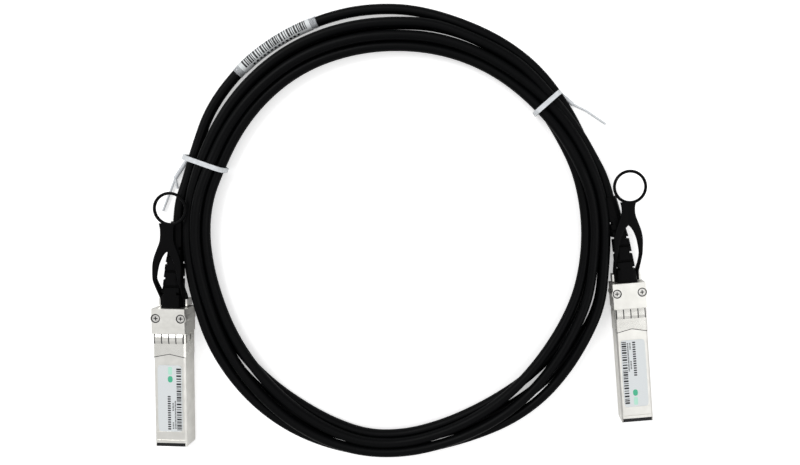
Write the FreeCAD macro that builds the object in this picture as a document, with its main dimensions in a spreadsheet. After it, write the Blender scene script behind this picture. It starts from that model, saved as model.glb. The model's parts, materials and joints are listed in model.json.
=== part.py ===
"""Direct attach copper cable: two die-cast pluggable ends on a coiled twinax cable.

Millimetres, +Z up. The object lies flat on the surface z = 0, label sides up. The row's origin is
the middle of the ground rectangle of the two plugs. Each plug is drawn in its own frame, with its
nose at y = 0, its cable leaving towards +Y and z = 0 on the surface, and is then turned and placed.
"""
import FreeCAD
import Part
import Sketcher
import math
import os

from FreeCAD import Placement, Rotation, Vector

doc = FreeCAD.newDocument("direct_attach_cable")

# ---------------------------------------------------------------- driving dimensions

DIMENSIONS = [
    # shell of a plug
    ("body_width", 13.4),
    ("body_length", 49.9),
    ("body_bottom", 0.45),
    ("body_top", 8.95),
    ("body_bevel", 0.6),
    ("split_height", 5.0),
    ("shell_wall", 0.9),
    ("shell_floor", 0.6),
    ("rear_width", 14.0),
    ("rear_length", 10.8),
    ("rear_top", 9.7),
    ("rear_wall", 1.3),
    ("nose_open", 1.7),
    ("nose_rail", 0.5),
    ("groove_from", 2.9),
    ("groove_width", 0.35),
    ("groove_depth", 0.25),
    ("fit_gap", 0.05),
    # housing label
    ("label_from", 6.8),
    ("label_length", 29.4),
    ("label_width", 11.9),
    ("label_thick", 0.1),
    # cover screws
    ("screw_across", 5.3),
    ("screw_back", 4.2),
    ("screw_lobe", 2.2),
    ("screw_sink", 1.95),
    ("screw_sink_depth", 0.9),
    ("screw_head", 1.5),
    ("screw_head_high", 0.75),
    ("screw_shank", 0.75),
    ("screw_length", 6.6),
    # spring collar
    ("collar_thick", 0.15),
    ("collar_length", 10.3),
    ("collar_notch", 1.4),
    ("finger_length", 4.2),
    ("finger_width", 2.6),
    ("finger_pitch", 3.05),
    ("finger_rise", 0.3),
    ("side_finger_width", 2.4),
    ("side_finger_pitch", 3.2),
    # paddle card
    ("card_thick", 1.0),
    ("card_gap", 0.1),
    ("card_from", 2.0),
    ("tongue_width", 9.2),
    ("tongue_length", 4.0),
    ("card_back", 8.9),
    ("ledge_width", 0.8),
    ("contact_pitch", 0.8),
    ("contact_width", 0.5),
    ("contact_length", 2.7),
    ("contact_thick", 0.05),
    ("chip_length", 4.0),
    ("chip_width", 5.0),
    ("chip_high", 1.3),
    ("chip_from", 14.0),
    # wires and crimp
    ("wire_inner", 0.6),
    ("wire_outer", 1.65),
    ("wire_radius", 0.42),
    ("core_radius", 0.14),
    ("core_length", 2.6),
    ("cable_diameter", 4.2),
    ("jacket_back", 11.7),
    ("ferrule_radius", 2.7),
    ("ferrule_length", 7.0),
    ("axis_height", 4.85),
    # latch
    ("channel_half", 3.4),
    ("channel_top", 1.3),
    ("channel_back", 20.1),
    ("boss_width", 2.4),
    ("boss_length", 2.7),
    ("boss_bottom", 0.05),
    ("slider_thick", 0.45),
    ("slider_half", 3.2),
    ("fork_inner", 1.6),
    ("fork_step", 2.8),
    ("fork_length", 4.0),
    ("wedge_length", 3.6),
    ("wedge_flat", 0.8),
    ("slider_tail", 0.5),
    ("ear_outer", 6.1),
    ("ear_thick", 0.7),
    ("ear_length", 3.0),
    ("ear_top", 5.2),
    ("lug_half", 0.8),
    ("lug_thick", 0.7),
    ("lug_top", 2.9),
    ("spring_radius", 0.75),
    ("spring_wire", 0.14),
    ("spring_length", 8.5),
    ("spring_turns", 5.0),
    ("pocket_half", 1.1),
    ("pocket_top", 3.3),
    ("rib_half", 1.9),
    # strain relief boot
    ("boot_length", 36.8),
    ("boot_width", 8.4),
    ("boot_height", 6.8),
    ("boot_end", 6.0),
    ("boot_straight", 5.0),
    ("boot_shoulder", 27.0),
    ("boot_middle", 19.0),
    ("boot_corner", 1.5),
    ("boot_tilt_a", 4.0),
    ("boot_tilt_b", -10.0),
    ("slot_width", 1.2),
    ("slot_depth", 1.5),
    ("slot_pitch", 6.5),
    ("slot_first", 5.6),
    ("flange_width", 9.6),
    ("flange_height", 5.9),
    ("flange_thick", 1.9),
    ("neck_width", 7.0),
    ("neck_height", 5.0),
    # pull tab
    ("tab_thick", 1.3),
    ("tab_bottom", 9.5),
    ("tab_root_outer", 6.5),
    ("tab_root_inner", 4.95),
    ("tab_root_bottom", 2.0),
    ("tab_root_top", 5.7),
    ("tab_root_length", 4.2),
    ("tab_rise_length", 5.8),
    ("tab_arm", 2.1),
    ("tab_waist_half", 2.65),
    ("tab_arch_at", 25.4),
    ("tab_waist_at", 29.8),
    ("ring_at", 42.6),
    ("ring_radius", 6.6),
    ("ring_wire", 0.6),
    ("tab_lean_a", 0.051),
    ("tab_lean_b", 0.087),
    # where the plugs lie
    ("plug_a_x", -101.04),
    ("plug_a_y", -60.98),
    ("plug_a_turn", -1.5),
    ("plug_b_x", 101.06),
    ("plug_b_y", -49.78),
    ("plug_b_turn", 4.8),
    # coil
    ("coil_x", -1.14),
    ("coil_y", 32.12),
    ("coil_height", 8.9),
    ("coil_round", 3.0),
    ("exit_run", 8.0),
    ("tie_a_angle", 160.5),
    ("tie_b_angle", 41.0),
    ("tie_wire", 0.8),
    ("tie_corner", 2.2),
    ("tie_width", 2.0),
    ("tail_radius", 0.7),
    ("wrap_from", 115.5),
    ("wrap_to", 133.0),
    ("wrap_over", 1.9),
    ("wrap_sleeve", 2.45),
]

sheet = doc.addObject("Spreadsheet::Sheet", "dims")
for row, (alias, number) in enumerate(DIMENSIONS, 1):
    sheet.set(f"A{row}", alias)
    sheet.set(f"B{row}", str(number))
    sheet.setAlias(f"B{row}", alias)
doc.recompute()


def size(alias):
    """A driving dimension as a plain number, for shapes that Part's own functions make."""
    return float(sheet.get(alias))


# ---------------------------------------------------------------- building blocks

def box(name, corner, extent):
    """A Part::Box whose lowest corner and three lengths are expressions of the sheet."""
    item = doc.addObject("Part::Box", name)
    for axis, text in zip("xyz", corner):
        item.setExpression("Placement.Base." + axis, text)
    for prop, text in zip(("Length", "Width", "Height"), extent):
        item.setExpression(prop, text)
    return item


def rod(name, start, radius, length, along="z"):
    """A Part::Cylinder that starts at a point and runs up (z) or towards the rear (y)."""
    item = doc.addObject("Part::Cylinder", name)
    if along == "y":
        item.Placement = Placement(Vector(), Rotation(Vector(1, 0, 0), -90))
    for axis, text in zip("xyz", start):
        item.setExpression("Placement.Base." + axis, text)
    item.setExpression("Radius", radius)
    item.setExpression("Height", length)
    return item


def prism(name, start, radius, length, sides, along="y"):
    """A Part::Prism with a regular outline that runs up (z) or towards the rear (y)."""
    item = doc.addObject("Part::Prism", name)
    item.Polygon = sides
    if along == "y":
        item.Placement = Placement(Vector(), Rotation(Vector(1, 0, 0), -90))
    for axis, text in zip("xyz", start):
        item.setExpression("Placement.Base." + axis, text)
    item.setExpression("Circumradius", radius)
    item.setExpression("Height", length)
    return item


def fuse(name, items):
    """One solid out of several that touch or overlap."""
    item = doc.addObject("Part::MultiFuse", name)
    item.Shapes = items
    return item


def cut(name, base, tools):
    """The base less every tool."""
    item = doc.addObject("Part::Cut", name)
    item.Base = base
    item.Tool = tools[0] if len(tools) == 1 else fuse(name + "_tools", tools)
    return item


def group(name, items):
    """Separate solids that share one node."""
    item = doc.addObject("Part::Compound", name)
    item.Links = items
    return item


def draw_outline(sketch, points):
    """A closed outline of straight lines whose corners are tied to the sheet."""
    count = len(points)
    for index in range(count):
        turn = index * 2 * math.pi / count
        following = (index + 1) * 2 * math.pi / count
        sketch.addGeometry(Part.LineSegment(Vector(math.cos(turn), math.sin(turn), 0),
                                            Vector(math.cos(following), math.sin(following), 0)))
    for index in range(count):
        sketch.addConstraint(Sketcher.Constraint("Coincident", index, 2, (index + 1) % count, 1))
    for index, corner in enumerate(points):
        for kind, text in zip(("DistanceX", "DistanceY"), corner):
            number = sketch.addConstraint(Sketcher.Constraint(kind, -1, 1, index, 1, 1.0))
            sketch.setExpression(f"Constraints[{number}]", text)


def pad(body, name, plane, offset, points, length):
    """A PartDesign pad: an outline on one of the body's own planes, drawn out by a length."""
    sketch = body.newObject("Sketcher::SketchObject", name + "_outline")
    support = next(item for item in body.Origin.OriginFeatures if item.Role == plane)
    sketch.AttachmentSupport = [(support, "")]
    sketch.MapMode = "FlatFace"
    sketch.setExpression("AttachmentOffset.Base.z", offset)
    draw_outline(sketch, points)
    feature = body.newObject("PartDesign::Pad", name)
    feature.Profile = sketch
    feature.setExpression("Length", length)
    sketch.Visibility = False
    return feature


def free_shape(name, shape):
    """A Part::Feature for a form that neither PartDesign nor the primitives fit."""
    item = doc.addObject("Part::Feature", name)
    item.Shape = shape
    return item


SUBPARTS = []


def place(item, node, end):
    """Name a finished sub-part and lay it where its plug lies."""
    if item.TypeId in ("Part::Box", "Part::Cylinder"):
        item = group(item.Name + "_whole", [item])
    item.Label = f"{node}_{end}"
    item.Placement = Placement(Vector(), Rotation(Vector(0, 0, 1), size(f"plug_{end}_turn")))
    item.setExpression("Placement.Base.x", f"dims.plug_{end}_x")
    item.setExpression("Placement.Base.y", f"dims.plug_{end}_y")
    SUBPARTS.append(item)


# ---------------------------------------------------------------- the castings of a plug

HALF = "dims.body_width / 2"
HALF_IN = "(dims.body_width / 2 - dims.shell_wall)"
REAR = "dims.body_length"
BACK = "(dims.body_length + dims.rear_length)"
SCREW_Y = "(dims.body_length + dims.rear_length - dims.screw_back)"
FLANGE_Y = "(dims.body_length + dims.rear_length - dims.rear_wall - dims.flange_thick - 2 * dims.fit_gap)"
CARD_TOP = "dims.split_height"
CARD_END = "(dims.body_length - dims.card_back)"
CARD_HALF = "(dims.body_width / 2 - dims.shell_wall - dims.card_gap)"
CARD_LOW = "(dims.split_height - dims.card_thick)"
TRAY_FLOOR = "(dims.channel_top + dims.shell_floor)"
CHANNEL_Y = "(dims.body_length - dims.channel_back)"
FORK_Y = "(dims.body_length - dims.channel_back + dims.fork_step)"
LUG_Y = "(dims.body_length - dims.channel_back + dims.fork_step + dims.fork_length)"
SPRING_Y = "(dims.body_length - dims.channel_back + dims.fork_step + dims.fork_length + dims.lug_thick)"
CAVITY_END = "(dims.body_length - dims.rear_wall)"


def long_edges(shape, height, half):
    """Numbers of the edges that run the length of a shell at one height, at both sides."""
    found = []
    for number, edge in enumerate(shape.Edges, 1):
        box_of = edge.BoundBox
        level = abs(box_of.ZMin - height) < 1e-6 and abs(box_of.ZMax - height) < 1e-6
        beside = abs(abs(box_of.XMin) - half) < 1e-6 and abs(box_of.XMax - box_of.XMin) < 1e-6
        if level and beside:
            found.append(number)
    return found


def bevelled(name, block, height, bevel):
    """The block with its long edges at one height cut back by the bevel."""
    doc.recompute()
    item = doc.addObject("Part::Chamfer", name)
    item.Base = block
    edges = long_edges(block.Shape, height, size("body_width") / 2)
    item.Edges = [(number, bevel, bevel) for number in edges]
    return item


def rear_cuts(end, shell):
    """What both castings lose round the cable: the crimp's bore, the flange's slot, the neck."""
    bore = rod(f"{shell}_bore_{end}", ("0", CAVITY_END + " - dims.fit_gap", "dims.axis_height"),
               "dims.ferrule_radius + dims.fit_gap", f"{FLANGE_Y} - {CAVITY_END} + 2 * dims.fit_gap", "y")
    slot = box(f"{shell}_slot_{end}",
               ("-dims.flange_width / 2 - dims.fit_gap", FLANGE_Y,
                "dims.axis_height - dims.flange_height / 2 - dims.fit_gap"),
               ("dims.flange_width + 2 * dims.fit_gap", "dims.flange_thick + 2 * dims.fit_gap",
                "dims.flange_height + 2 * dims.fit_gap"))
    neck = box(f"{shell}_neck_{end}",
               ("-dims.neck_width / 2 - dims.fit_gap", f"{BACK} - dims.rear_wall - dims.fit_gap",
                "dims.axis_height - dims.neck_height / 2 - dims.fit_gap"),
               ("dims.neck_width + 2 * dims.fit_gap", "dims.rear_wall + 2 * dims.fit_gap",
                "dims.neck_height + 2 * dims.fit_gap"))
    return [bore, slot, neck]


def upper_shell(end):
    """Cover casting: the label's recess, screw lobes and counterbores, and the open nose."""
    roof = box(f"roof_{end}", ("-" + HALF, "0", CARD_TOP),
               ("dims.body_width", f"{REAR} + dims.fit_gap", "dims.body_top - dims.split_height"))
    hull = bevelled(f"roof_bevel_{end}", roof, size("body_top"), size("body_bevel"))
    rear = box(f"roof_rear_{end}", ("-dims.rear_width / 2", REAR, CARD_TOP),
               ("dims.rear_width", "dims.rear_length", "dims.rear_top - dims.split_height"))
    lobes = [rod(f"roof_lobe_{end}{side}", (f"{side} * dims.screw_across", SCREW_Y, CARD_TOP),
                 "dims.screw_lobe", "dims.rear_top - dims.split_height") for side in (-1, 1)]
    hollow = box(f"roof_hollow_{end}", ("-" + HALF_IN, "dims.nose_open", CARD_TOP),
                 (f"2 * {HALF_IN}", f"{CAVITY_END} - dims.nose_open",
                  "dims.body_top - dims.shell_wall - dims.split_height"))
    nose = box(f"roof_nose_{end}", (f"-{HALF} + dims.nose_rail", "-1", CARD_TOP),
               ("dims.body_width - 2 * dims.nose_rail", "dims.nose_open + 1", "dims.body_top"))
    groove = box(f"roof_groove_{end}",
                 ("-dims.body_width", "dims.groove_from", "dims.body_top - dims.groove_depth"),
                 ("2 * dims.body_width", "dims.groove_width", "dims.groove_depth + 1"))
    recess = box(f"roof_recess_{end}",
                 ("-dims.label_width / 2 - dims.fit_gap", "dims.label_from - dims.fit_gap",
                  "dims.body_top - dims.label_thick"),
                 ("dims.label_width + 2 * dims.fit_gap", "dims.label_length + 2 * dims.fit_gap",
                  "dims.label_thick + 1"))
    holes = []
    for side in (-1, 1):
        across = f"{side} * dims.screw_across"
        holes.append(rod(f"roof_hole_{end}{side}", (across, SCREW_Y, "0"),
                         "dims.screw_shank + dims.fit_gap", "dims.rear_top"))
        holes.append(rod(f"roof_sink_{end}{side}",
                         (across, SCREW_Y, "dims.rear_top - dims.screw_sink_depth"),
                         "dims.screw_sink", "dims.screw_sink_depth + 1"))
    shell = cut(f"cover_{end}", fuse(f"cover_blank_{end}", [hull, rear] + lobes),
                [hollow, nose, groove, recess] + holes + rear_cuts(end, "roof"))
    ribs = [box(f"roof_rib_{end}{side}",
                (f"{side} * ({HALF_IN} - dims.ledge_width / 2) - dims.ledge_width / 2",
                 "dims.card_from + dims.tongue_length + 1", CARD_TOP),
                ("dims.ledge_width", f"{CARD_END} - dims.card_from - dims.tongue_length - 2",
                 "dims.body_top - dims.shell_wall / 2 - dims.split_height")) for side in (-1, 1)]
    place(fuse(f"cover_whole_{end}", [shell] + ribs), "upper_shell", end)


def lower_shell(end):
    """Tray casting: the card's ledges, the latch boss, its slider's channel and spring pocket."""
    tray = box(f"tray_{end}", ("-" + HALF, "0", "dims.body_bottom"),
               ("dims.body_width", f"{REAR} + dims.fit_gap", "dims.split_height - dims.body_bottom"))
    hull = bevelled(f"tray_bevel_{end}", tray, size("body_bottom"), size("body_bevel") / 2)
    rear = box(f"tray_rear_{end}", ("-dims.rear_width / 2", REAR, "0"),
               ("dims.rear_width", "dims.rear_length", CARD_TOP))
    lobes = [rod(f"tray_lobe_{end}{side}", (f"{side} * dims.screw_across", SCREW_Y, "dims.body_bottom"),
                 "dims.screw_lobe", "dims.split_height - dims.body_bottom") for side in (-1, 1)]
    hollow = box(f"tray_hollow_{end}", ("-" + HALF_IN, "dims.nose_open", TRAY_FLOOR),
                 (f"2 * {HALF_IN}", f"{CAVITY_END} - dims.nose_open", "dims.split_height"))
    nose = box(f"tray_nose_{end}", (f"-{HALF} + dims.nose_rail", "-1", TRAY_FLOOR),
               ("dims.body_width - 2 * dims.nose_rail", "dims.nose_open + 1", "dims.split_height"))
    channel = box(f"tray_channel_{end}", ("-dims.channel_half", CHANNEL_Y, "dims.body_bottom"),
                  ("2 * dims.channel_half", f"{BACK} + 1 - {CHANNEL_Y}",
                   "dims.channel_top - dims.body_bottom"))
    holes = [rod(f"tray_hole_{end}{side}",
                 (f"{side} * dims.screw_across", SCREW_Y,
                  "dims.rear_top - dims.screw_sink_depth - dims.screw_length - dims.fit_gap"),
                 "dims.screw_shank + dims.fit_gap", "dims.rear_top") for side in (-1, 1)]
    shell = cut(f"tray_shell_{end}", fuse(f"tray_blank_{end}", [hull, rear] + lobes),
                [hollow, nose, channel] + holes + rear_cuts(end, "tray"))
    ledges = [box(f"tray_ledge_{end}{side}",
                  (f"{side} * ({HALF_IN} - dims.ledge_width / 2) - dims.ledge_width / 2",
                   "dims.card_from + dims.tongue_length + 1", "dims.channel_top"),
                  ("dims.ledge_width", f"{CARD_END} - dims.card_from - dims.tongue_length - 2",
                   f"{CARD_LOW} - dims.channel_top")) for side in (-1, 1)]
    rib = box(f"tray_rib_{end}",
              ("-dims.rib_half", f"{LUG_Y} - dims.rib_half + dims.pocket_half", "dims.channel_top"),
              ("2 * dims.rib_half",
               "dims.lug_thick + dims.spring_length + 2 * (dims.rib_half - dims.pocket_half) + dims.fit_gap",
               f"{CARD_LOW} - dims.fit_gap - dims.channel_top"))
    pocket = box(f"tray_pocket_{end}",
                 ("-dims.pocket_half", f"{LUG_Y} - dims.fit_gap", "dims.channel_top - 1"),
                 ("2 * dims.pocket_half", "dims.lug_thick + dims.spring_length + 2 * dims.fit_gap",
                  "dims.pocket_top - dims.channel_top + 1"))
    whole = cut(f"tray_pocketed_{end}", fuse(f"tray_ribbed_{end}", [shell, rib] + ledges), [pocket])
    boss = doc.addObject("PartDesign::Body", f"latch_boss_{end}")
    pad(boss, f"boss_{end}", "XY_Plane", "dims.boss_bottom",
        [("-dims.boss_width / 2", f"{CHANNEL_Y} + 1 + dims.boss_length"),
         ("0", f"{CHANNEL_Y} + 1"),
         ("dims.boss_width / 2", f"{CHANNEL_Y} + 1 + dims.boss_length")],
        "dims.channel_top + dims.fit_gap - dims.boss_bottom")
    place(fuse(f"tray_whole_{end}", [whole, boss]), "lower_shell", end)


def cover_screws(end):
    """Two screws that hold the cover down on the tray."""
    screws = []
    seat = "(dims.rear_top - dims.screw_sink_depth)"
    for side in (-1, 1):
        across = f"{side} * dims.screw_across"
        head = prism(f"screw_head_{end}{side}", (across, SCREW_Y, seat),
                     "dims.screw_head", "dims.screw_head_high", 16, "z")
        shank = prism(f"screw_shank_{end}{side}", (across, SCREW_Y, f"{seat} - dims.screw_length"),
                      "dims.screw_shank", "dims.screw_length + dims.fit_gap", 8, "z")
        screws.append(fuse(f"screw_{end}{side}", [head, shank]))
    place(group(f"screws_{end}", screws), "cover_screws", end)


def housing_label(end):
    """The thin label that fills the recess of the cover."""
    place(box(f"label_sheet_{end}", ("-dims.label_width / 2", "dims.label_from",
                                     "dims.body_top - dims.label_thick"),
              ("dims.label_width", "dims.label_length", "dims.label_thick")), "housing_label", end)


def dust_plug(end):
    """Black insert that closes the nose in front of the card."""
    half = f"({HALF} - dims.nose_rail - dims.fit_gap)"
    place(box(f"dust_block_{end}", ("-" + half, "0", f"{TRAY_FLOOR} + dims.fit_gap"),
              ("2 * " + half, "dims.nose_open - dims.fit_gap",
               f"dims.body_top - dims.body_bevel - {TRAY_FLOOR} + dims.fit_gap")), "dust_plug", end)


# ---------------------------------------------------------------- spring collar

def shell_section(grow, bevel_grow):
    """Corners (x, z) of the body's section, grown all round: bevelled at its four long edges."""
    half = size("body_width") / 2 + grow
    low = size("body_bottom") - grow
    high = size("body_top") + grow
    top = size("body_bevel") + bevel_grow
    foot = size("body_bevel") / 2 + bevel_grow
    return [(-half, low + foot), (-half, high - top), (-half + top, high), (half - top, high),
            (half, high - top), (half, low + foot), (half - foot, low), (-half + foot, low)]


def along_body(corners, start, length):
    """A prism of the section (x, z) from one station of the body towards its rear."""
    points = [Vector(x, start, z) for x, z in corners]
    return Part.Face(Part.makePolygon(points + points[:1])).extrude(Vector(0, length, 0))


def spring_finger(width, start):
    """One sprung finger: a thin strip folded up from the face z = 0 and back, along Y."""
    length, rise, thick = size("finger_length"), size("finger_rise"), size("collar_thick")
    profile = [(0, 0), (0.3, rise), (0.7, rise), (1, 0), (1, thick), (0.7, rise + thick),
               (0.3, rise + thick), (0, thick)]
    points = [Vector(-width / 2, start + share * length, high) for share, high in profile]
    return Part.Face(Part.makePolygon(points + points[:1])).extrude(Vector(width, 0, 0))


def spring_collar(end):
    """Folded sheet sleeve with a shallow V at each front edge and arched spring fingers."""
    thick, gap = size("collar_thick"), size("fit_gap")
    front = size("body_length") - size("collar_length")
    bevel_grow = thick * (2 - math.sqrt(2))
    sleeve = along_body(shell_section(thick, bevel_grow), front, size("collar_length") - gap)
    sleeve = sleeve.cut(along_body(shell_section(0, 0), front - 1, size("collar_length") + 2))
    half, tall = size("body_width") / 2, size("body_top") - size("body_bottom")
    middle = size("body_bottom") + tall / 2
    notch, reach = size("collar_notch"), size("body_width")
    plan = [Vector(-half, front, -1), Vector(half, front, -1), Vector(0, front + notch, -1)]
    side = [Vector(-reach, front, size("body_bottom")), Vector(-reach, front, size("body_top")),
            Vector(-reach, front + notch, middle)]
    for corners, run in ((plan, Vector(0, 0, 2 * reach)), (side, Vector(2 * reach, 0, 0))):
        sleeve = sleeve.cut(Part.Face(Part.makePolygon(corners + corners[:1])).extrude(run))
    start = size("body_length") - gap - size("finger_length") - thick
    faces = [(4, size("finger_pitch"), size("finger_width"), Rotation(), Vector(0, 0, size("body_top"))),
             (4, size("finger_pitch"), size("finger_width"), Rotation(Vector(0, 1, 0), 180),
              Vector(0, 0, size("body_bottom"))),
             (2, size("side_finger_pitch"), size("side_finger_width"), Rotation(Vector(0, 1, 0), 90),
              Vector(half, 0, middle)),
             (2, size("side_finger_pitch"), size("side_finger_width"), Rotation(Vector(0, 1, 0), -90),
              Vector(-half, 0, middle))]
    fingers = []
    for count, pitch, width, turn, origin in faces:
        spot = Placement(origin, turn)
        for index in range(count):
            across = (index - (count - 1) / 2) * pitch
            slit = Part.makeBox(pitch, size("finger_length") + gap, 2 * thick,
                                Vector(across - pitch / 2, start, -thick / 2))
            slit.Placement = spot.multiply(slit.Placement)
            sleeve = sleeve.cut(slit)
            finger = spring_finger(width, start - gap)
            finger.translate(Vector(across, 0, 0))
            finger.Placement = spot.multiply(finger.Placement)
            fingers.append(finger)
    place(free_shape(f"collar_{end}", sleeve.fuse(fingers).removeSplitter()), "spring_collar", end)


# ---------------------------------------------------------------- inside a plug

def paddle_card(end):
    """Circuit card: a narrow tongue at the nose and a wider board behind it."""
    body = doc.addObject("PartDesign::Body", f"card_{end}")
    step = "dims.card_from + dims.tongue_length"
    pad(body, f"card_board_{end}", "XY_Plane", CARD_LOW,
        [("-dims.tongue_width / 2", "dims.card_from"), ("dims.tongue_width / 2", "dims.card_from"),
         ("dims.tongue_width / 2", step), (CARD_HALF, step),
         (CARD_HALF, CARD_END), (f"-{CARD_HALF}", CARD_END),
         (f"-{CARD_HALF}", step), ("-dims.tongue_width / 2", step)], "dims.card_thick")
    place(body, "paddle_card", end)


def wire_places():
    """The four wires' places across the plug."""
    return ["-dims.wire_outer", "-dims.wire_inner", "dims.wire_inner", "dims.wire_outer"]


def card_contacts(end):
    """Ten gold contacts on each face of the tongue, and a solder pad under each wire."""
    pads = []
    for index in range(10):
        across = f"{index - 4.5} * dims.contact_pitch - dims.contact_width / 2"
        for face, level in enumerate((CARD_TOP, f"{CARD_LOW} - dims.contact_thick")):
            pads.append(box(f"contact_{end}{index}{face}", (across, "dims.card_from + 0.3", level),
                            ("dims.contact_width", "dims.contact_length", "dims.contact_thick")))
    for index, across in enumerate(wire_places()):
        pads.append(box(f"solder_pad_{end}{index}",
                        (f"{across} - dims.contact_width / 2", f"{CARD_END} - dims.core_length", CARD_TOP),
                        ("dims.contact_width", "dims.core_length - 0.4", "dims.contact_thick")))
    place(group(f"contacts_{end}", pads), "card_contacts", end)


def memory_chip(end):
    """Eight-lead memory chip that tells the host what cable this is."""
    case = box(f"chip_case_{end}", ("-dims.chip_width / 2", "dims.chip_from", CARD_TOP),
               ("dims.chip_width", "dims.chip_length", "dims.chip_high"))
    leads = [box(f"chip_lead_{end}{row}",
                 ("-dims.chip_width / 2 - 0.6",
                  f"dims.chip_from + {row + 0.3} * dims.chip_length / 4", CARD_TOP),
                 ("dims.chip_width + 1.2", "0.4 * dims.chip_length / 4", "dims.chip_high / 4"))
             for row in range(4)]
    place(fuse(f"chip_{end}", [case] + leads), "memory_chip", end)


def capacitors(end):
    """One blocking capacitor in the line of each wire."""
    blocks = [box(f"capacitor_{end}{index}",
                  (f"{across} - dims.contact_width / 2", f"{CARD_END} - 2.5 * dims.core_length", CARD_TOP),
                  ("dims.contact_width", "2 * dims.contact_width", "dims.contact_width"))
              for index, across in enumerate(wire_places())]
    place(group(f"capacitor_set_{end}", blocks), "capacitors", end)


def signal_wires(end):
    """Four insulated wires from the jacket's cut end, their bare cores on the solder pads."""
    wires = []
    jacket = f"({BACK} - dims.jacket_back)"
    for index, across in enumerate(wire_places()):
        sheath = prism(f"sheath_{end}{index}",
                       (across, CARD_END, f"{CARD_TOP} + dims.wire_radius - dims.contact_thick"),
                       "dims.wire_radius", f"{jacket} - {CARD_END}", 8)
        core = prism(f"core_{end}{index}",
                     (across, f"{CARD_END} - dims.core_length + 0.2",
                      f"{CARD_TOP} + dims.core_radius + dims.contact_thick"),
                     "dims.core_radius", "dims.core_length + 0.3", 8)
        wires.append(fuse(f"wire_{end}{index}", [sheath, core]))
    place(group(f"wires_{end}", wires), "signal_wires", end)


def jacket_end(end):
    """The cable's end inside the plug, from its cut face to the boot's flange."""
    place(rod(f"jacket_{end}", ("0", f"{BACK} - dims.jacket_back", "dims.axis_height"),
              "dims.cable_diameter / 2", f"{FLANGE_Y} + dims.fit_gap - {BACK} + dims.jacket_back", "y"),
          "jacket_end", end)


def crimp_ferrule(end):
    """Sleeve crimped to a hexagon over the jacket's end, clamped between the castings."""
    start = f"{FLANGE_Y} - dims.ferrule_length - 0.4"
    outer = prism(f"ferrule_out_{end}", ("0", start, "dims.axis_height"),
                  "dims.ferrule_radius", "dims.ferrule_length", 6)
    inner = rod(f"ferrule_in_{end}", ("0", f"{start} - 1", "dims.axis_height"),
                "dims.cable_diameter / 2 + dims.fit_gap / 2", "dims.ferrule_length + 2", "y")
    place(cut(f"ferrule_{end}", outer, [inner]), "crimp_ferrule", end)


# ---------------------------------------------------------------- latch and pull tab

def latch_slider(end):
    """Stamped slider: a forked front with release wedges, a spring lug and two upturned ears."""
    body = doc.addObject("PartDesign::Body", f"slider_{end}")
    level = "(dims.channel_top - 0.1 - dims.slider_thick)"
    crotch = LUG_Y
    tail = f"({BACK} + dims.slider_tail)"
    tip = f"({BACK} + dims.slider_tail + dims.ear_length)"
    right = [("dims.fork_inner", FORK_Y), ("dims.slider_half", FORK_Y),
             ("dims.slider_half", tail), ("dims.ear_outer", tail), ("dims.ear_outer", tip)]
    left = [(f"-{across}", along) for across, along in reversed(right)]
    pad(body, f"slider_plate_{end}", "XY_Plane", level,
        [("dims.fork_inner", crotch)] + right + left + [("-dims.fork_inner", crotch)],
        "dims.slider_thick")
    for side, start in ((-1, "-dims.ear_outer"), (1, "dims.ear_outer - dims.ear_thick")):
        pad(body, f"slider_ear_{end}{'left' if side < 0 else 'right'}", "XY_Plane", level,
            [(start, tail), (f"{start} + dims.ear_thick", tail),
             (f"{start} + dims.ear_thick", tip), (start, tip)], f"dims.ear_top - {level}")
    pad(body, f"slider_lug_{end}", "XY_Plane", level,
        [("-dims.lug_half", LUG_Y), ("dims.lug_half", LUG_Y),
         ("dims.lug_half", SPRING_Y), ("-dims.lug_half", SPRING_Y)], f"dims.lug_top - {level}")
    for side, start in (("left", "-dims.slider_half"), ("right", "dims.fork_inner")):
        pad(body, f"slider_wedge_{end}{side}", "YZ_Plane", start,
            [(FORK_Y, f"{level} + dims.slider_thick / 2"),
             (FORK_Y, "2 * dims.boss_bottom"),
             (f"{FORK_Y} + dims.wedge_flat", "2 * dims.boss_bottom"),
             (f"{FORK_Y} + dims.wedge_length", level),
             (f"{FORK_Y} + dims.wedge_length", f"{level} + dims.slider_thick / 2")],
            "dims.slider_half - dims.fork_inner")
    place(body, "latch_slider", end)


def return_spring(end):
    """Coil spring that pushes the slider's lug back towards the nose, wound in straight steps."""
    radius, wire, turns = size("spring_radius"), size("spring_wire"), size("spring_turns")
    length = size("spring_length") - 4 * wire
    start = (size("body_length") - size("channel_back") + size("fork_step") + size("fork_length")
             + size("lug_thick") + 2 * wire)
    level = (size("channel_top") + size("pocket_top")) / 2
    steps = round(8 * turns)
    points = []
    for step in range(steps + 1):
        angle = math.pi / 4 * step
        points.append(Vector(radius * math.cos(angle), start + length * step / steps,
                             level + radius * math.sin(angle)))
    heading = (points[1] - points[0]).normalize()
    outward = heading.cross(Vector(0, 1, 0)).normalize()
    beside = heading.cross(outward)
    corners = [points[0] + way * wire for way in (outward, beside, outward * -1, beside * -1)]
    coil = Part.makePolygon(points).makePipeShell([Part.makePolygon(corners + corners[:1])],
                                                  True, True, 1)
    place(free_shape(f"spring_{end}", coil), "return_spring", end)


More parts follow.
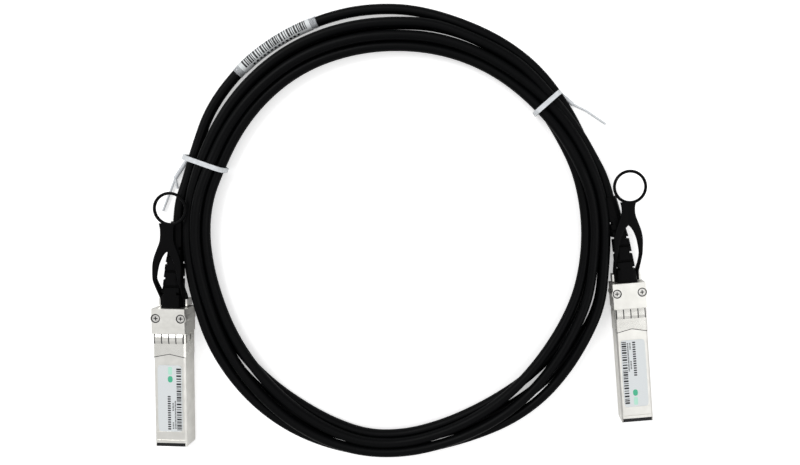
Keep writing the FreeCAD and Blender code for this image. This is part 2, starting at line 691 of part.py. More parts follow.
def tab_plan(lean):
    """The tab from above: two arms that bow round the boot and meet in a waist. Y from the rear face.

    Behind the ramp the whole strap leans to one side by the given slope.
    """
    outer, inner, start = size("tab_root_outer"), size("tab_root_inner"), size("slider_tail")
    rise = start + size("tab_root_length") + size("tab_rise_length")
    waist, waist_at, arch = size("tab_waist_half"), size("tab_waist_at"), size("tab_arch_at")
    end = size("ring_at") - size("ring_radius") + size("ring_wire") / 2
    hip, hip_at = outer - size("tab_arm"), rise + 3

    def spot(across, along):
        return Vector(across + lean * max(0, along - rise), along, 0)

    edges = [Part.makeLine(spot(-waist, end), spot(waist, end))]
    for side in (1, -1):
        shoulder = spot(side * (0.72 * outer + 0.28 * waist), (hip_at + waist_at) / 2 + 2.4)
        crotch = spot(side * 0.72 * hip, (hip_at + arch) / 2 + 1.2)
        edges += [Part.makeLine(spot(side * inner, start), spot(side * outer, start)),
                  Part.makeLine(spot(side * outer, start), spot(side * outer, rise)),
                  Part.makeLine(spot(side * outer, rise), spot(side * outer, hip_at)),
                  Part.Arc(spot(side * outer, hip_at), shoulder, spot(side * waist, waist_at)).toShape(),
                  Part.makeLine(spot(side * waist, waist_at), spot(side * waist, end)),
                  Part.Arc(spot(0, arch), crotch, spot(side * hip, hip_at)).toShape(),
                  Part.makeLine(spot(side * hip, hip_at), spot(side * inner, rise)),
                  Part.makeLine(spot(side * inner, rise), spot(side * inner, start))]
    return Part.Face(Part.Wire(Part.__sortEdges__(edges)))


def tab_side():
    """The tab from the side: deep roots at the ears, a ramp over the boot, and a level strap."""
    start = size("slider_tail")
    root = start + size("tab_root_length")
    level = root + size("tab_rise_length")
    low, high = size("tab_bottom"), size("tab_bottom") + size("tab_thick")
    end = size("ring_at")
    corners = [(start, size("tab_root_bottom")), (root, size("tab_root_bottom")),
               (level + 0.5, low), (end, low), (end, high), (level - 0.5, high),
               (root - 1.2, size("tab_root_top")), (start, size("tab_root_top"))]
    return Part.Face(Part.makePolygon([Vector(0, y, z) for y, z in corners + corners[:1]]))


def finger_ring():
    """The ring of the pull tab: an eight-sided bar led round the ring's centre in short steps."""
    middle, bar = size("ring_radius"), size("ring_wire")
    spots = []
    for step in range(30):
        angle = math.pi / 15 * step
        spots.append(Vector(middle * math.cos(angle), middle * math.sin(angle), 0))
    between = (spots[-1] + spots[0]) / 2
    corners = []
    outward = Vector(between.x, between.y, 0).normalize()
    for step in range(8):
        angle = math.pi / 4 * (step + 0.5)
        corners.append(between + outward * (bar * math.cos(angle)) + Vector(0, 0, bar * math.sin(angle)))
    route = Part.makePolygon([between] + spots + [between])
    return route.makePipeShell([Part.makePolygon(corners + corners[:1])], True, False, 1)


def pull_tab(end):
    """Moulded pull tab: the plan and the side view cut from one block, and the finger ring."""
    wide, tall = 2 * size("tab_root_outer"), 2 * size("tab_bottom")
    lean = size("tab_lean_" + end)
    plan = tab_plan(lean).extrude(Vector(0, 0, tall))
    side = tab_side().extrude(Vector(wide, 0, 0))
    side.translate(Vector(-wide / 2, 0, 0))
    strap = plan.common(side)
    middle = size("tab_bottom") + size("tab_thick") / 2
    drift = lean * (size("ring_at") - size("slider_tail") - size("tab_root_length")
                    - size("tab_rise_length"))
    ring = finger_ring()
    ring.translate(Vector(drift, size("ring_at"), middle))
    tab = strap.fuse(ring)
    rear = size("body_length") + size("rear_length")
    tab.translate(Vector(0, rear, 0))
    gap = size("fit_gap")
    for edge in (-size("ear_outer"), size("ear_outer") - size("ear_thick")):
        tab = tab.cut(Part.makeBox(size("ear_thick") + 2 * gap, size("ear_length") + 2 * gap,
                                   size("ear_top") + gap,
                                   Vector(edge - gap, rear + size("slider_tail") - gap, 0)))
    place(free_shape(f"tab_{end}", tab), "pull_tab", end)


# ---------------------------------------------------------------- strain relief boot

def section(middle, across, width, height, corner, steps):
    """An upright outline with eased corners, centred on a point and facing along a direction.

    Each corner turns round its own centre through the given steps, in degrees.
    """
    half, tall = width / 2 - corner, height / 2 - corner
    points = []
    for x, z, turn in ((half, tall, 0), (-half, tall, 90), (-half, -tall, 180), (half, -tall, 270)):
        for step in steps:
            angle = math.radians(turn + step)
            points.append(middle + across * (x + corner * math.cos(angle))
                          + Vector(0, 0, z + corner * math.sin(angle)))
    return Part.makePolygon(points + points[:1])


# How far each boot leans across its plug: at the end of its straight root, half way, at the
# shoulder of its collar and at the collar's end.
BOOT_LEAN = {"a": (0.1, 1.1, 2.3, 2.8), "b": (-0.3, -1.6, -3.3, -5.1)}


def boot_sections(end):
    """Sections (across, along, width, height, tilt) of a boot from the castings to its collar's end."""
    rear = size("body_length") + size("rear_length")
    wide, tall, finish = size("boot_width"), size("boot_height"), size("boot_end")
    root, half_way, shoulder, tip = BOOT_LEAN[end]
    first, last = size("boot_straight"), size("boot_shoulder")
    middle = size("boot_middle")
    share = (middle - first) / (last - first)
    tilt = size("boot_tilt_" + end)
    neck_wide, neck_tall = finish + 0.5, finish + 0.3
    return [(0, rear + size("fit_gap"), wide, tall, 0),
            (root, rear + first, wide, tall, 0),
            (half_way, rear + middle, wide + share * (neck_wide - wide),
             tall + share * (neck_tall - tall), tilt / 2),
            (shoulder, rear + last, neck_wide, neck_tall, tilt),
            (tip, rear + size("boot_length"), finish, finish, tilt)]


def boot_span(sections, along):
    """Centre and half width of the boot at one station."""
    for first, last in zip(sections, sections[1:]):
        if along <= last[1]:
            share = (along - first[1]) / (last[1] - first[1])
            return (first[0] + share * (last[0] - first[0]),
                    (first[2] + share * (last[2] - first[2])) / 2,
                    (first[3] + share * (last[3] - first[3])) / 2)


def strain_relief(end):
    """Moulded boot: flange and neck inside the castings, then a slotted taper down to a collar."""
    rear = size("body_length") + size("rear_length")
    gap, level = size("fit_gap"), size("axis_height")
    sections = boot_sections(end)
    outlines = []
    for number, (across, along, width, height, tilt) in enumerate(sections):
        corner = size("boot_corner") + number / 4 * (0.96 * size("boot_end") / 2 - size("boot_corner"))
        turn = Rotation(Vector(0, 0, 1), -tilt)
        outlines.append(section(Vector(across, along, level), turn.multVec(Vector(1, 0, 0)),
                                width, height, corner, (0, 45, 90)))
    boot = Part.makeLoft(outlines[:2], True, True)
    for first, last in zip(outlines[1:], outlines[2:]):
        boot = boot.fuse(Part.makeLoft([first, last], True, True))
    reach, deep = size("rear_width"), size("slot_depth")
    for index in range(4):
        station = rear + size("slot_first") + index * size("slot_pitch")
        middle, half, _ = boot_span(sections, station)
        for low in (middle + half - deep, middle - half + deep - reach):
            boot = boot.cut(Part.makeBox(reach, size("slot_width"), reach, Vector(low, station, 0)))
    for index in range(3):
        station = rear + size("slot_first") + (index + 0.5) * size("slot_pitch")
        _, _, lift = boot_span(sections, station)
        for low in (level + lift - deep, level - lift + deep - reach):
            boot = boot.cut(Part.makeBox(2 * reach, size("slot_width"), reach,
                                         Vector(-reach, station, low)))
    flange_at = rear - size("rear_wall") - size("flange_thick") - gap
    flange = Part.makeBox(size("flange_width"), size("flange_thick"), size("flange_height"),
                          Vector(-size("flange_width") / 2, flange_at, level - size("flange_height") / 2))
    neck = Part.makeBox(size("neck_width"), size("rear_wall") + 3 * gap, size("neck_height"),
                        Vector(-size("neck_width") / 2, rear - size("rear_wall") - 2 * gap,
                               level - size("neck_height") / 2))
    place(free_shape(f"boot_{end}", boot.fuse([flange, neck]).removeSplitter()), "strain_relief", end)


# ---------------------------------------------------------------- cable

# The coil's inner and outer radius all round, by angle anticlockwise from three o'clock.
COIL_RADII = [(-14, 77.3, 91.3), (-5, 77.0, 88.9), (4, 76.9, 87.4), (13, 76.8, 86.7), (26, 76.6, 87.6),
              (41, 76.3, 89.1),
              (58, 76.2, 91.1), (74, 75.9, 92.0), (90, 75.7, 90.2), (105, 76.2, 91.0),
              (120, 77.3, 91.3), (140, 78.0, 91.4), (160.5, 78.8, 90.4), (172, 80.2, 90.4),
              (184, 80.8, 91.4), (196, 81.4, 93.4), (212, 82.9, 97.1), (236, 84.6, 100.2),
              (260, 87.2, 99.5), (285, 83.1, 96.5), (305, 80.6, 96.2), (325, 78.9, 94.0)]


def coil_section(angle, inner, outer, low, high, corner, steps):
    """A section across the coil at one angle, between two radii and two heights."""
    turn = math.radians(angle)
    across = Vector(math.cos(turn), math.sin(turn), 0)
    middle = Vector(size("coil_x"), size("coil_y"), (low + high) / 2) + across * ((inner + outer) / 2)
    return section(middle, across, outer - inner, high - low, corner, steps)


def keep(item, node):
    """Name a finished sub-part of the cable, which is modelled where it lies."""
    item.Label = node
    SUBPARTS.append(item)


def coil(ties):
    """The whole bundle of turns as one closed ring, which the ties nip from below."""
    sections = []
    for first, last in zip(COIL_RADII, COIL_RADII[1:] + [COIL_RADII[0]]):
        swing = (last[0] - first[0]) % 360
        for share in [step / 2 for step in range(2 if swing > 9 else 1)]:
            inner, outer = (first[index] + share * (last[index] - first[index]) for index in (1, 2))
            sections.append(coil_section(first[0] + share * swing, inner, outer, 0, size("coil_height"),
                                         size("coil_round"), (0, 90)))
    keep(free_shape("coil_ring", Part.makeLoft(sections, True, True, True).cut(ties)), "coil")


def plug_point(end, across, along, height):
    """A point of a plug's own frame as it lies in the row's frame."""
    turn = Rotation(Vector(0, 0, 1), size(f"plug_{end}_turn"))
    return turn.multVec(Vector(across, along, height)) + Vector(size(f"plug_{end}_x"),
                                                               size(f"plug_{end}_y"), 0)


def cable_path(points):
    """Straight runs joined by tangent arcs, each arc as large as its two runs allow."""
    edges = []
    radii = []
    start = points[0]
    for before, corner, after in zip(points, points[1:], points[2:]):
        back, ahead = (before - corner), (after - corner)
        shorter = min(back.Length, ahead.Length)
        half_turn = (math.pi - back.getAngle(ahead)) / 2
        radius = 0.45 * shorter / math.tan(half_turn)
        radii.append(radius)
        back.normalize()
        ahead.normalize()
        reach = 0.45 * shorter
        first, last = corner + back * reach, corner + ahead * reach
        middle = (back + ahead).normalize()
        crown = corner + middle * (radius / math.cos(half_turn) - radius)
        edges.append(Part.LineSegment(start, first).toShape())
        edges.append(Part.Arc(first, crown, last).toShape())
        start = last
    edges.append(Part.LineSegment(start, points[-1]).toShape())
    return Part.Wire(edges), radii


# Sides of a cable's tube.
TUBE_SIDES = 12


def tube(path, start, heading, radius):
    """A twelve-sided tube along a path, with the section area of the round cable."""
    across = heading.cross(Vector(0, 0, 1)).normalize()
    upward = across.cross(heading).normalize()
    share = 2 * math.pi / TUBE_SIDES
    reach = radius * math.sqrt(share / math.sin(share))
    corners = [start + across * (reach * math.cos(share * step)) + upward * (reach * math.sin(share * step))
               for step in range(TUBE_SIDES)]
    return path.makePipeShell([Part.makePolygon(corners + corners[:1])], True, False)


def polar(angle, radius, height):
    """A point by its angle and radius about the coil's centre."""
    turn = math.radians(angle)
    return Vector(size("coil_x") + radius * math.cos(turn), size("coil_y") + radius * math.sin(turn),
                  height)


def lead(node, end, way):
    """A plain tube from the end face of a boot into the coil, through points round the coil."""
    across, along, _, _, tilt = boot_sections(end)[-1]
    straight = size("exit_run")
    turn = math.radians(tilt)
    start = plug_point(end, across, along, size("axis_height"))
    second = plug_point(end, across + straight * math.sin(turn), along + straight * math.cos(turn),
                        size("axis_height"))
    points = [start, second] + [polar(*spot) for spot in way]
    path, radii = cable_path(points)
    radius = size("cable_diameter") / 2
    solid = tube(path, start, second - start, radius)
    expected = math.pi * radius ** 2 * path.Length
    print(f"{node}: length {path.Length:.1f}, arc radii", [round(value, 1) for value in radii],
          f"volume {solid.Volume:.0f} of {expected:.0f}")
    keep(free_shape(node + "_tube", solid), node)
    return path, start, second - start


# Each lead's way round the coil after it has left its boot: angle, radius and height.
LEAD_A = [(167.5, 93.2, 3.7), (157, 93.2, 3.05), (146, 95.2, 2.8), (132, 95.4, 2.7),
          (118, 94.6, 2.7), (104, 93.8, 2.9), (92, 92.7, 3.2), (82, 91.4, 3.6)]
LEAD_B = [(21, 87.9, 4.7), (30, 86.9, 4.6)]


def tie(node, angle, inner, outer, tail):
    """Twist tie: a flat loop round the bundle, its twisted stem and its loose ends.

    The stem and ends are given from point to point about the coil's centre, each with its share of
    the tail's radius.
    """
    wire, high, corner = size("tie_wire"), size("coil_height"), size("tie_corner")
    slack, steps = size("fit_gap"), (0, 30, 60, 90)
    rim = coil_section(angle, inner - slack - wire, outer + slack + wire, slack, high + wire + slack,
                       corner + wire, steps)
    hole = coil_section(angle, inner - slack, outer + slack, slack + wire, high + slack, corner, steps)
    turn = math.radians(angle)
    along = Vector(-math.sin(turn), math.cos(turn), 0) * size("tie_width")
    loop = Part.Face(rim).extrude(along).cut(Part.Face(hole).extrude(along))
    loop.translate(along * -0.5)
    shape = loop
    for start, finish, share in tail:
        centre = Vector(size("coil_x"), size("coil_y"), 0)
        first, last = centre + Vector(*start), centre + Vector(*finish)
        shape = shape.fuse(Part.makeCylinder(share * size("tail_radius"), (last - first).Length,
                                             first, last - first))
    keep(free_shape(node + "_wire", shape), node)
    return loop


def wrap(name, node, route, spans, inner, outer):
    """A skin round the lead over some spans of angle about the coil's centre."""
    skin = tube(*route, outer).cut(tube(*route, inner))
    reach = 2 * max(radius for _, _, radius in COIL_RADII)
    pieces = []
    for first, last in spans:
        corners = [polar(0, 0, 0), polar(first, reach, 0), polar((first + last) / 2, reach, 0),
                   polar(last, reach, 0)]
        wedge = Part.Face(Part.makePolygon(corners + corners[:1])).extrude(Vector(0, 0, reach))
        pieces += skin.common(wedge).Solids
    keep(free_shape(name, Part.Compound(pieces)), node)


def wraps(route):
    """Paper label wrapped round the lead, and the clear film that shows past both its ends."""
    first, last, over = size("wrap_from"), size("wrap_to"), size("wrap_over")
    skin = size("cable_diameter") / 2 + size("fit_gap")
    wrap("wrap_paper", "wrap_label", route, [(first, last)], skin, size("wrap_sleeve"))
    wrap("wrap_clear", "wrap_film", route, [(first - over, first), (last, last + over)], skin,
         size("wrap_sleeve"))


# ---------------------------------------------------------------- the whole

for plug in ("a", "b"):
    upper_shell(plug)
    lower_shell(plug)
    cover_screws(plug)
    housing_label(plug)
    dust_plug(plug)
    spring_collar(plug)
    paddle_card(plug)
    card_contacts(plug)
    memory_chip(plug)
    capacitors(plug)
    signal_wires(plug)
    jacket_end(plug)
    crimp_ferrule(plug)
    latch_slider(plug)
    return_spring(plug)
    pull_tab(plug)
    strain_relief(plug)

left_tie = tie("tie_left", size("tie_a_angle"), 78.8, 95.2,
               [((-90.4, 31.9, 1.6), (-97.0, 22.8, 1.1), 1.2), ((-97.0, 22.8, 1.0), (-102.9, 8.8, 1.0), 0.7),
                ((-97.0, 22.8, 1.0), (-96.2, 18.4, 1.0), 0.7)])
right_tie = tie("tie_right", size("tie_b_angle"), 76.3, 89.1,
                [((67.8, 58.9, 1.6), (73.6, 54.2, 1.2), 1.2), ((73.6, 54.2, 1.0), (79.5, 51.4, 1.0), 0.7),
                 ((79.5, 51.4, 1.0), (87.7, 45.9, 1.0), 0.7)])
coil([left_tie, right_tie])
route_a = lead("lead_a", "a", LEAD_A)
lead("lead_b", "b", LEAD_B)
wraps(route_a)
doc.recompute()

faulty = [item.Label for item in doc.Objects if "Invalid" in item.State or "Error" in item.State]
for item in SUBPARTS:
    if item.Shape.isNull() or not item.Shape.isValid():
        faulty.append(item.Label)
if faulty:
    raise RuntimeError("not sound: " + ", ".join(faulty))

os.makedirs("parts", exist_ok=True)
for item in SUBPARTS:
    item.Shape.exportStep(f"parts/{item.Label}.step")
print(len(SUBPARTS), "sub-parts written")
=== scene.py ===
"""Direct attach copper cable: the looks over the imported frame.

Metres, +Z up, lying on the surface z = 0. The camera and the cable come first, then the things that
sit on the cable, the plugs' finish, the stage and the light.
"""
import json
import math

import bmesh
import bpy
import numpy as np
from mathutils import Matrix, Vector


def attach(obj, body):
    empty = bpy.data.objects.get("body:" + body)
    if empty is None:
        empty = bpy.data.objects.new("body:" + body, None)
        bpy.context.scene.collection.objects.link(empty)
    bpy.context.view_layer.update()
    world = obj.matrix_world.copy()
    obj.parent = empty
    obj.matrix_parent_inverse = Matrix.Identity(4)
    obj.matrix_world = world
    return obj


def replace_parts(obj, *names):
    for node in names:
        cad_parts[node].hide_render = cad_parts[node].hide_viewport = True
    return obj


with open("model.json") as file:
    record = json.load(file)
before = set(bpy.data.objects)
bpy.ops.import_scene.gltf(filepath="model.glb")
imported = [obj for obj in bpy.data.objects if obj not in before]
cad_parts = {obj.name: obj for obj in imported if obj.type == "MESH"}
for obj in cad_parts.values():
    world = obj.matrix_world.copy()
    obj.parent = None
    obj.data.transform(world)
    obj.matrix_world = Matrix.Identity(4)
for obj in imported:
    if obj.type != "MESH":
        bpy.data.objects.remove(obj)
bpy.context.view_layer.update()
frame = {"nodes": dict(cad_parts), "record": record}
NODES = frame["nodes"]

MM = 0.001
SCENE = bpy.context.scene

# ---------------------------------------------------------------- camera

camera_data = bpy.data.cameras.new("camera")
camera_data.sensor_width = 36.0
camera_data.lens = 28.5
camera_data.shift_x = -0.115
camera_data.clip_start = 0.01
camera_data.clip_end = 20.0
camera = bpy.data.objects.new("camera", camera_data)
camera.location = (0.03806, 0.05512, 0.27445)
camera.rotation_euler = (-0.086, 0.0, 0.0)
SCENE.collection.objects.link(camera)
SCENE.camera = camera

# ---------------------------------------------------------------- the plugs' own frames

PLUGS = {"a": (-101.04, -60.98, -1.5), "b": (101.06, -49.78, 4.8)}
REAR = 60.7
COIL = (-1.14, 32.12)
CABLE = 4.2


def plug_point(end, across, along, height):
    """A point of a plug's own frame, in millimetres with its nose at along = 0, as it lies here."""
    x, y, turn = PLUGS[end]
    turn = math.radians(turn)
    return Vector((x + across * math.cos(turn) - along * math.sin(turn),
                   y + across * math.sin(turn) + along * math.cos(turn), height)) * MM


def plug_matrix(end):
    """The same move as a matrix for meshes that are drawn in a plug's own millimetres."""
    x, y, turn = PLUGS[end]
    return (Matrix.Translation(Vector((x, y, 0)) * MM) @ Matrix.Rotation(math.radians(turn), 4, "Z")
            @ Matrix.Scale(MM, 4))


def polar(angle, radius, height):
    """A point by its angle (anticlockwise from three o'clock) and radius about the coil's centre."""
    turn = math.radians(angle)
    return Vector((COIL[0] + radius * math.cos(turn), COIL[1] + radius * math.sin(turn), height)) * MM


def between(table, angle, column):
    """A column of a table by angle, read at any angle: straight lines from row to row, all round."""
    angles = np.array([row[0] for row in table], float)
    values = np.array([row[column] for row in table], float)
    return float(np.interp((angle - angles[0]) % 360 + angles[0],
                           np.append(angles, angles[0] + 360), np.append(values, values[0])))


def ease(value, low, high):
    """0 up to low, 1 from high on, and a smooth step between them."""
    share = min(max((value - low) / (high - low), 0.0), 1.0)
    return share * share * (3 - 2 * share)


# ---------------------------------------------------------------- cable

# The bundle's inner and outer radius all round.
BUNDLE = [(-14, 77.8, 92.0), (-5, 77.6, 90.9), (4, 77.3, 90.4), (13, 77.4, 90.2), (26, 77.3, 89.6),
          (41, 76.9, 90.1), (58, 76.4, 92.0), (74, 75.9, 92.0), (90, 75.7, 90.6), (105, 76.2, 91.0),
          (120, 77.3, 91.6), (140, 78.0, 91.4), (160, 78.9, 90.8), (172, 81.0, 91.0),
          (184, 81.6, 92.0), (196, 81.9, 94.0), (212, 83.1, 97.8), (236, 84.9, 101.5),
          (248, 86.9, 102.2), (260, 89.0, 100.9), (270, 87.6, 100.0), (285, 83.4, 97.8),
          (305, 80.0, 97.5), (325, 78.6, 95.4), (340, 78.4, 94.9)]

# The lead's way round the coil from boot A, and the way out of it to boot B.
LEAD_A = [(167.5, 93.4, 3.7), (157, 93.6, 3.05), (146, 95.8, 2.8), (132, 96.1, 2.7),
          (118, 95.5, 2.7), (104, 94.8, 2.8), (92, 93.8, 3.0), (82, 92.5, 3.4)]
LEAD_B = [(30, 86.9, 4.6), (21, 87.9, 4.7)]
BOOT_TIP = {"a": (2.8, 97.5, 4.0), "b": (-5.1, 97.5, -10.0)}
TURNS = 5
STEP = 10


def on_stadium(fraction, half, radius):
    """A place on a long loop, by the fraction of the way round it.

    The loop is two straight rows of length 2 half, radius above and below the middle, joined by half
    circles. It starts at the outer end, goes down, in along the bottom row, up, and out along the top.
    """
    whole = 4 * half + 2 * math.pi * radius
    way = (fraction % 1.0) * whole
    quarter, row = math.pi * radius / 2, 2 * half
    if way < quarter:
        return half + radius * math.cos(way / radius), -radius * math.sin(way / radius)
    way -= quarter
    if way < row:
        return half - way, -radius
    way -= row
    if way < 2 * quarter:
        return -half - radius * math.sin(way / radius), -radius * math.cos(way / radius)
    way -= 2 * quarter
    if way < row:
        return -half + way, radius
    way -= row
    return half + radius * math.sin(way / radius), radius * math.cos(way / radius)


def slot_of(strand, share):
    """Where a strand sits on the loop at a share of a turn, clockwise from nine o'clock.

    Five strands fill the loop on the left and below. Past the top the first strand joins them, all
    six move up one place on the way to boot B's side, and the last one leaves.
    """
    wobble = 0.85 * ease(share, 0.55, 0.74) * (1 - ease(share, 0.76, 0.97))
    five_in = (strand - 0.5) / 5
    five_out = (strand + 0.5 + wobble) / 5
    six = (strand + ease(share, 0.34, 0.46)) / 6
    if share < 0.5:
        joined = ease(share, 0.26, 0.35)
        left = ease(share, 0.44, 0.5)
        return (1 - joined) * five_in + joined * ((1 - left) * six + left * (strand + 0.5) / 5)
    return five_out


def station(share):
    """Centres (radius, height) of every strand at a share of a turn, pushed apart till they clear."""
    angle = 180 - 360 * share
    inner, outer = between(BUNDLE, angle, 1), between(BUNDLE, angle, 2)
    middle, wide = (inner + outer) / 2, outer - inner
    rise = 0.52 * CABLE
    half = max((wide - CABLE) / 2 - rise, 0.1)
    first = 0 if share > 0.28 else 1
    last = TURNS if share < 0.47 else TURNS - 1
    spots = []
    for strand in range(first, last + 1):
        across, up = on_stadium(slot_of(strand, share), half, rise)
        spots.append([middle + across, CABLE / 2 + rise + up])
    spots = np.array(spots)
    for _ in range(60):
        for one in range(len(spots)):
            for two in range(one + 1, len(spots)):
                gap = spots[two] - spots[one]
                away = max(float(np.hypot(*gap)), 1e-6)
                if away < CABLE:
                    push = gap / away * (CABLE - away) * 0.5
                    spots[one] -= push
                    spots[two] += push
        spots[:, 1] = np.maximum(spots[:, 1], CABLE / 2)
        spots[:, 0] = np.clip(spots[:, 0], inner + CABLE / 2 - 0.3, outer - CABLE / 2 + 0.6)
    return {strand: spots[index] for index, strand in enumerate(range(first, last + 1))}


def cable_points():
    """Control points of the whole cable: out of boot A, five and a half turns clockwise, into boot B."""
    points = []
    across, along, tilt = BOOT_TIP["a"]
    turn = math.radians(tilt)
    points.append(plug_point("a", across, along, 4.85))
    points.append(plug_point("a", across + 8 * math.sin(turn), along + 8 * math.cos(turn), 4.85))
    points += [polar(*spot) for spot in LEAD_A]
    stretch = 1 / math.cos(math.radians(STEP / 2))
    for index in range(11, 36 * TURNS + 14):
        strand, place = divmod(index, 36)
        share = place / 36
        radius, height = station(share)[strand]
        points.append(polar(180 - 360 * share, radius * stretch, height))
    points += [polar(*spot) for spot in LEAD_B]
    across, along, tilt = BOOT_TIP["b"]
    turn = math.radians(tilt)
    points.append(plug_point("b", across + 8 * math.sin(turn), along + 8 * math.cos(turn), 4.85))
    points.append(plug_point("b", across, along, 4.85))
    return points


def nurbs(name, points, radius, sides):
    """An open NURBS curve through the given control points, with a round bevel."""
    data = bpy.data.curves.new(name, "CURVE")
    data.dimensions = "3D"
    data.bevel_depth = radius
    data.bevel_resolution = sides
    data.resolution_u = 6
    data.use_fill_caps = True
    spline = data.splines.new("NURBS")
    spline.points.add(len(points) - 1)
    for spot, point in zip(spline.points, points):
        spot.co = (*point, 1.0)
    spline.order_u = 3
    spline.use_endpoint_u = True
    item = bpy.data.objects.new(name, data)
    SCENE.collection.objects.link(item)
    return item


def line_of(item):
    """The points that a curve's own line follows, with no bevel."""
    data = item.data.copy()
    data.bevel_depth = 0
    data.resolution_u = 12
    bare = bpy.data.objects.new("bare_line", data)
    SCENE.collection.objects.link(bare)
    bpy.context.view_layer.update()
    mesh = bpy.data.meshes.new_from_object(bare.evaluated_get(bpy.context.evaluated_depsgraph_get()))
    points = np.array([vertex.co for vertex in mesh.vertices])
    bpy.data.meshes.remove(mesh)
    bpy.data.objects.remove(bare)
    bpy.data.curves.remove(data)
    return points


cable = nurbs("cable", cable_points(), CABLE / 2 * MM, 7)
CABLE_LINE = line_of(cable)

# ---------------------------------------------------------------- materials


class Surface:
    """A small helper that lays out one material's nodes."""

    def __init__(self, name, colour, rough, metal=0.0, gloss=0.5):
        self.material = bpy.data.materials.new(name)
        self.material.use_nodes = True
        self.tree = self.material.node_tree
        self.shader = self.tree.nodes["Principled BSDF"]
        self.shader.inputs["Base Color"].default_value = (*colour, 1.0)
        self.shader.inputs["Roughness"].default_value = rough
        self.shader.inputs["Metallic"].default_value = metal
        self.shader.inputs["Specular IOR Level"].default_value = gloss
        self.where = self.tree.nodes.new("ShaderNodeTexCoord")

    def node(self, kind, **values):
        """A node of that kind with its inputs set by name."""
        item = self.tree.nodes.new(kind)
        for key, value in values.items():
            item.inputs[key.replace("_", " ")].default_value = value
        return item

    def link(self, start, finish):
        """Joins an output to an input."""
        self.tree.links.new(start, finish)

    def noise(self, scale, detail=3.0, stretch=(1, 1, 1)):
        """Noise over the object's own coordinates, drawn out along the axes by stretch."""
        mapping = self.node("ShaderNodeMapping", Scale=stretch)
        self.link(self.where.outputs["Object"], mapping.inputs["Vector"])
        item = self.node("ShaderNodeTexNoise", Scale=scale, Detail=detail)
        self.link(mapping.outputs["Vector"], item.inputs["Vector"])
        return item.outputs["Fac"]

    def ramp(self, value, low, high, start=0.35, end=0.65):
        """Maps a value from start..end to low..high."""
        item = self.node("ShaderNodeMapRange", From_Min=start, From_Max=end, To_Min=low, To_Max=high)
        self.link(value, item.inputs["Value"])
        return item.outputs["Result"]

    def bump(self, value, strength, distance):
        """Raises the surface by a value."""
        item = self.node("ShaderNodeBump", Strength=strength, Distance=distance)
        self.link(value, item.inputs["Height"])
        self.link(item.outputs["Normal"], self.shader.inputs["Normal"])

    def mottle(self, first, second, value):
        """Blends the base colour between two colours by a value."""
        mix = self.tree.nodes.new("ShaderNodeMix")
        mix.data_type = "RGBA"
        mix.inputs[6].default_value = (*first, 1.0)
        mix.inputs[7].default_value = (*second, 1.0)
        self.link(value, mix.inputs[0])
        self.link(mix.outputs[2], self.shader.inputs["Base Color"])


def satin_metal(name, dark, light, rough_low, rough_high, scale, stretch=(1, 1, 1), bump=0.05):
    """Bare metal: patchy roughness, a faint grain along the drawn axis, and a slight mottle."""
    surface = Surface(name, light, rough_low, 1.0)
    grain = surface.noise(scale, 4.0, stretch)
    surface.link(surface.ramp(grain, rough_low, rough_high), surface.shader.inputs["Roughness"])
    surface.mottle(dark, light, surface.ramp(surface.noise(scale / 4, 2.0), 0.0, 1.0))
    surface.bump(grain, bump, 0.00002)
    return surface.material


def plastic(name, dark, light, rough_low, rough_high, scale, bump=0.15, gloss=0.5):
    """Moulded plastic or rubber: fine even grain and patchy gloss."""
    surface = Surface(name, light, rough_low, 0.0, gloss)
    grain = surface.noise(scale, 4.0)
    surface.link(surface.ramp(surface.noise(scale / 12, 2.0), rough_low, rough_high),
                 surface.shader.inputs["Roughness"])
    surface.mottle(dark, light, surface.ramp(grain, 0.0, 1.0))
    surface.bump(grain, bump, 0.00003)
    return surface.material


